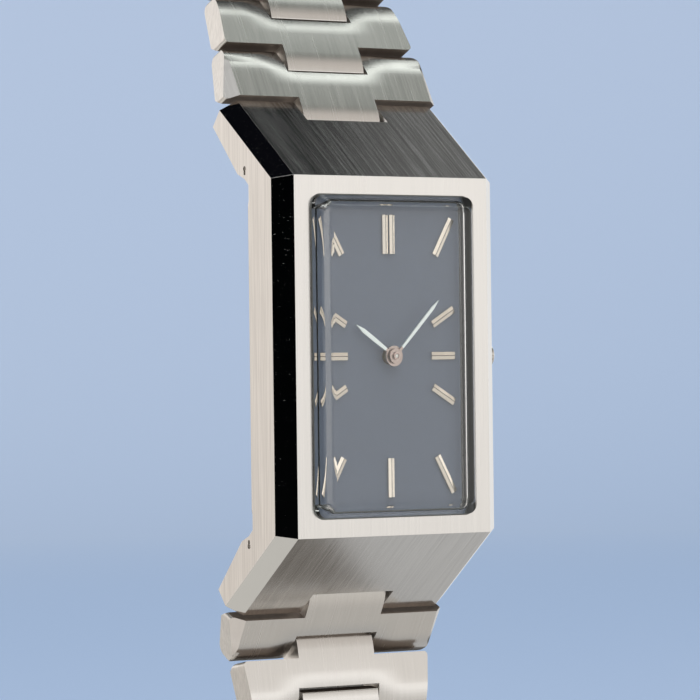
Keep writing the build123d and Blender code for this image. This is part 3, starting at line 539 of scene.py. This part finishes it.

# %% [markdown]
# ## The case
# The front frame is satin, the long bevels beside it and beside the slopes are mirrors, and the
# strokes on the slopes run down them. The rounded edges take the worn finish, lighter than the
# steel as a painted highlight, which draws the light lines round the case.

# %% Case with a finish for each direction
CASE_EDGE = 0.13 * MM
FRONT, FLANK, MIRROR, SLOPE_UP, SLOPE_DOWN, WEAR_AND_HIGHLIGHT_EDGE = range(6)


def case_finish(normal):
    """The finish of a case face, from the direction that it looks in."""
    to_a_side = abs(normal.x)
    if to_a_side > 0.95:
        return FLANK
    if normal.y < -0.98:
        return FRONT
    # A bevel looks forward and to a side at once, and a slope forward and up or down.
    if normal.y < -0.2 and to_a_side > 0.3:
        return MIRROR
    if normal.y < -0.5 and to_a_side < 0.05:
        return SLOPE_UP if normal.z > 0 else SLOPE_DOWN
    return FLANK


# The rounded edges take the worn finish, lighter than the steel as a painted highlight.
case_piece = rounded(
    "case_body",
    CASE_EDGE,
    case_finish,
    [satin_front, flank_strokes, mirror, slope_strokes_up, slope_strokes_down, worn_edge],
    edge_index=WEAR_AND_HIGHLIGHT_EDGE,
)
print("case", len(case_piece.data.polygons), "faces")

# %% [markdown]
# ## Bracelet with rolled fronts
# The CAD's link fronts are flat. In the photograph a bright band bows across each of them, so they
# roll away gently where they meet the next link: at the notch, at the ends of the two ears beside
# it, and at the tip of the tongue. The front is cut into narrow strips, and each vertex that would
# stand proud of the rolled surface is lowered to it. Nothing grows, so the links still fold.

# %% Links and clasp
LINK_EDGE = 0.08 * MM
LINK_EDGE_LIMIT = 32
LINK_FINISHES = [link_strokes, flank_strokes, joint_steel]
STROKED, SIDE, JOINT = range(3)
# Each roll has the length that it runs and its radius.
NOTCH_ROLL = (3.65 * MM, 6.6 * MM)
EAR_ROLL = (2.3 * MM, 6.2 * MM)
TONGUE_ROLL = (1.7 * MM, 4.3 * MM)
# The notch's roll turns into the ear's between these distances from the middle of the bracelet.
EAR_INNER, EAR_OUTER = 2.8 * MM, 7.0 * MM
EAR_STEPS = 7
ROLL_STEP = 0.3 * MM


def link_front(node):
    """The direction that a link's front looks in, and how far out the front lies."""
    level_faces = [face for face in frame["nodes"][node].data.polygons if abs(face.normal.x) < 0.1]
    fronts = [face for face in level_faces if face.normal.y < 0 or "_link_" not in node]
    widest = max(fronts, key=lambda face: face.area)
    return widest.normal.copy(), widest.center.dot(widest.normal)


def link_finish(node):
    """A link's finishes: strokes on its faces, and on the ends inside its joints a dark steel for grime
    and painted shade.
    """
    outward, _ = link_front(node)

    def choose(normal):
        if abs(normal.x) > 0.9:
            return SIDE
        is_end = abs(normal.dot(outward)) < 0.35 and abs(normal.x) < 0.5
        return JOINT if is_end else STROKED

    return choose


def roll_drop(distance, roll):
    """How far a roll has fallen at a distance from the end that it runs out at."""
    run, radius = roll
    return max(run - distance, 0) ** 2 / (2 * radius)


def smooth_share(value, low, high):
    """A smooth step from 0 to 1 while the value goes from low to high."""
    share = min(max((value - low) / (high - low), 0), 1)
    return share * share * (3 - 2 * share)


def strips(end, inward, roll):
    """How far out to cut, in even steps from an end of the link to where its roll begins."""
    return [end + inward * step * ROLL_STEP for step in range(1, round(roll[0] / ROLL_STEP) + 1)]


def rolled(node):
    """Gives a function that rolls a link's front down to its notch, its ears' ends and its tip."""
    outward, level = link_front(node)
    # Away from the case, along the link: the notch and the ears are far, the tongue's tip is near.
    away = Vector((0, outward.z, -outward.y)) * (1 if node.startswith("upper") else -1)
    sideways = Vector((1, 0, 0))

    def reshape(shape):
        reaches = [vertex.co.dot(away) for vertex in shape.verts]
        near, far = min(reaches), max(reaches)
        across = strips(far, -1, NOTCH_ROLL) + strips(near, 1, TONGUE_ROLL)
        cuts = [(away, offset) for offset in across]
        for side in (-1, 1):
            for step in range(EAR_STEPS + 1):
                offset = side * (EAR_INNER + (EAR_OUTER - EAR_INNER) * step / EAR_STEPS)
                cuts.append((sideways, offset))
        for normal, offset in cuts:
            everything = shape.verts[:] + shape.edges[:] + shape.faces[:]
            bmesh.ops.bisect_plane(
                shape, geom=everything, dist=MERGE_DISTANCE, plane_co=normal * offset, plane_no=normal
            )
        for vertex in shape.verts:
            along = vertex.co.dot(away)
            ear = smooth_share(abs(vertex.co.x), EAR_INNER, EAR_OUTER)
            drop = roll_drop(far - along, NOTCH_ROLL) * (1 - ear)
            drop += roll_drop(far - along, EAR_ROLL) * ear
            drop += roll_drop(along - near, TONGUE_ROLL)
            proud = vertex.co.dot(outward) - level + drop
            if drop > 0 and proud > 0:
                vertex.co -= outward * proud

    return reshape


link_pieces = [
    rounded(
        node,
        LINK_EDGE,
        link_finish(node),
        LINK_FINISHES,
        reshape=rolled(node) if "_link_" in node else None,
        limit=LINK_EDGE_LIMIT,
    )
    for node in frame["nodes"]
    if "_link_" in node or node in ("clasp_frame", "clasp_cover", "clasp_hook")
]
print("links and clasp", len(link_pieces))

# %% [markdown]
# ## Crystal, dial and hands
# The crystal is clear acrylic that really refracts, so the markers show doubled through its wall.
# It casts no shadow, which lets the lamp light the dial without waiting for caustics.

# %% Clear and coloured finishes
HUB_RADIUS = 0.95 * MM

acrylic = Finish("acrylic", Base_Color=(0.985, 0.99, 0.985), IOR=1.49, Transmission_Weight=1.0)
hairlines = acrylic.ease(acrylic.noise((5200, 5200, 140), (0.2, 0.4, 0.3), detail=1.0), 0.74, 0.8)
acrylic.set(Roughness=hairlines * 0.12 + 0.004)

rubber = Finish("rubber", Base_Color=(0.02, 0.02, 0.02))
rubber.set(Roughness=rubber.noise((4000, 4000, 4000)) * 0.2 + 0.45)

grey_seal = Finish("grey_seal", Base_Color=(0.17, 0.18, 0.172))
grey_seal.set(Roughness=grey_seal.noise((4000, 4000, 4000)) * 0.2 + 0.3)

slate = Finish("slate", Metallic=0.35, Specular_IOR_Level=0.15)
slate_hair = slate.noise((4200, 4200, 25), roughness=0.6)
slate_tone = slate_hair * 0.7 + slate.noise((140, 140, 90)) * 0.3
slate.set(
    Base_Color=slate.mix(slate_tone, (0.181, 0.219, 0.291), (0.214, 0.257, 0.333)),
    Roughness=slate_hair * 0.12 + 0.5,
)
slate.grooves(slate_hair, 0.0012 * MM)

applied = polished("applied_silver", (0.95, 0.88, 0.78), 0.13, 0.0004 * MM)
line_ink = Finish("line_ink")
line_ink.set(
    Base_Color=line_ink.mix(line_ink.noise((3000, 3000, 3000)), (0.07, 0.06, 0.05), (0.12, 0.1, 0.085)),
    Roughness=line_ink.noise((900, 900, 900)) * 0.2 + 0.35,
)
boss_metal = polished("boss_steel", (0.56, 0.45, 0.41), 0.25, 0.0008 * MM)
pin_metal = polished("pin_steel", (0.6, 0.58, 0.56), 0.2)
back_metal = polished("back_steel", STEEL, 0.08)
plate_metal = brushed("plate_metal", (1, 0, 0), 0.3, tint=(0.78, 0.76, 0.72), cells=5000)
brass = brushed("brass", (1, 0, 0), 0.3, tint=(0.78, 0.58, 0.28), cells=5000)
ring_metal = brushed("ring_metal", (1, 0, 0), 0.4, tint=(0.6, 0.6, 0.6), cells=5000)

# The hands are bluish white, and pinkish round the hub, in place of their finish's own colour.
arbor = frame["nodes"]["cannon_pinion"].data.vertices
arbor_x = [vertex.co.x for vertex in arbor]
arbor_z = [vertex.co.z for vertex in arbor]
hub_x, hub_z = ((min(span) + max(span)) / 2 for span in (arbor_x, arbor_z))
pale_metal = polished("hand_silver", STEEL, 0.3, 0.0008 * MM)
at = pale_metal.node("ShaderNodeSeparateXYZ", pale_metal.place)
from_hub = ((at["X"] - hub_x) ** 2 + (at["Z"] - hub_z) ** 2) ** 0.5
hand_haze = pale_metal.noise((900, 900, 900))
pale_metal.set(
    Base_Color=pale_metal.mix(
        pale_metal.ease(from_hub, HUB_RADIUS, HUB_RADIUS * 1.1),
        pale_metal.mix(hand_haze, (0.5, 0.4, 0.36), (0.6, 0.5, 0.46)),
        pale_metal.mix(hand_haze, (0.82, 0.9, 0.9), (0.88, 0.96, 0.96)),
    )
)

# %% [markdown]
# ## Solids that keep their CAD meshes
# The other solids are drawn as they are. Only their material slots are filled.

# %% Materials for the CAD's own solids
SOLID_FINISHES = {
    "crystal": acrylic,
    "crystal_gasket": grey_seal,
    "case_back_gasket": rubber,
    "dial": slate,
    "minute_hand": pale_metal,
    "hour_hand": pale_metal,
    "cannon_pinion": boss_metal,
    "hour_wheel": brass,
    "barrel": brass,
    "balance_wheel": brass,
    "movement_ring": ring_metal,
    "main_plate": plate_metal,
    "train_bridge": plate_metal,
    "rotor": plate_metal,
    "setting_lever": pin_metal,
    "winding_stem": pin_metal,
    "lug_pins": pin_metal,
    "case_back": back_metal,
    "crown": back_metal,
}
for node in frame["nodes"]:
    finish = pin_metal if "_pin_" in node else SOLID_FINISHES.get(node)
    if finish:
        for material_slot in frame["nodes"][node].material_slots:
            material_slot.material = finish.material
frame["nodes"]["crystal"].visible_shadow = False
print("solids with a finish of their own", len(SOLID_FINISHES))

# %% [markdown]
# ## Hour markers
# Each hour marker is a bar with a low ridge, and a fine black line runs along the ridge. The line
# is real geometry: the ridge edge is bevelled to a narrow flat that takes its own material. The
# photograph's ridges are lower than the CAD's, except on the pair at 12, so they are lowered first.

# %% A black line along each marker
LINE_WIDTH = 0.06 * MM
MARKER_EDGE = 0.02 * MM
MARKER_EDGE_LIMIT = 50
RIDGE_WEAR = 0.5
TWELVE_HALF_WIDTH = 1.5 * MM
BAR, LINE = range(2)


def looks_front(face):
    """Whether a face looks more to the front than to a side."""
    return face.normal.y < -0.7


markers = merged_copy("hour_markers")
for face in markers.faces:
    face.material_index = BAR
ridges = [
    edge
    for edge in markers.edges
    if len(edge.link_faces) == 2 and all(looks_front(face) for face in edge.link_faces)
]
for vertex in {vertex for edge in ridges for vertex in edge.verts}:
    at_twelve = vertex.co.z > hub_z and abs(vertex.co.x) < TWELVE_HALF_WIDTH
    feet = [edge.other_vert(vertex).co.y for edge in vertex.link_edges if edge not in ridges]
    if feet and not at_twelve:
        vertex.co.y += RIDGE_WEAR * (sum(feet) / len(feet) - vertex.co.y)
bmesh.ops.bevel(
    markers, geom=ridges, affect="EDGES", offset=LINE_WIDTH / 2, segments=1, profile=0.5, material=LINE
)
marker_piece = finished_piece("hour_markers_lined", markers, [applied, line_ink])
marker_edges = marker_piece.modifiers.new("soft edges", "BEVEL")
marker_edges.width = MARKER_EDGE
marker_edges.segments = EDGE_SEGMENTS
marker_edges.angle_limit = radians(MARKER_EDGE_LIMIT)
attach(marker_piece, "case")
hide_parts("hour_markers")
print("ridges", len(ridges))
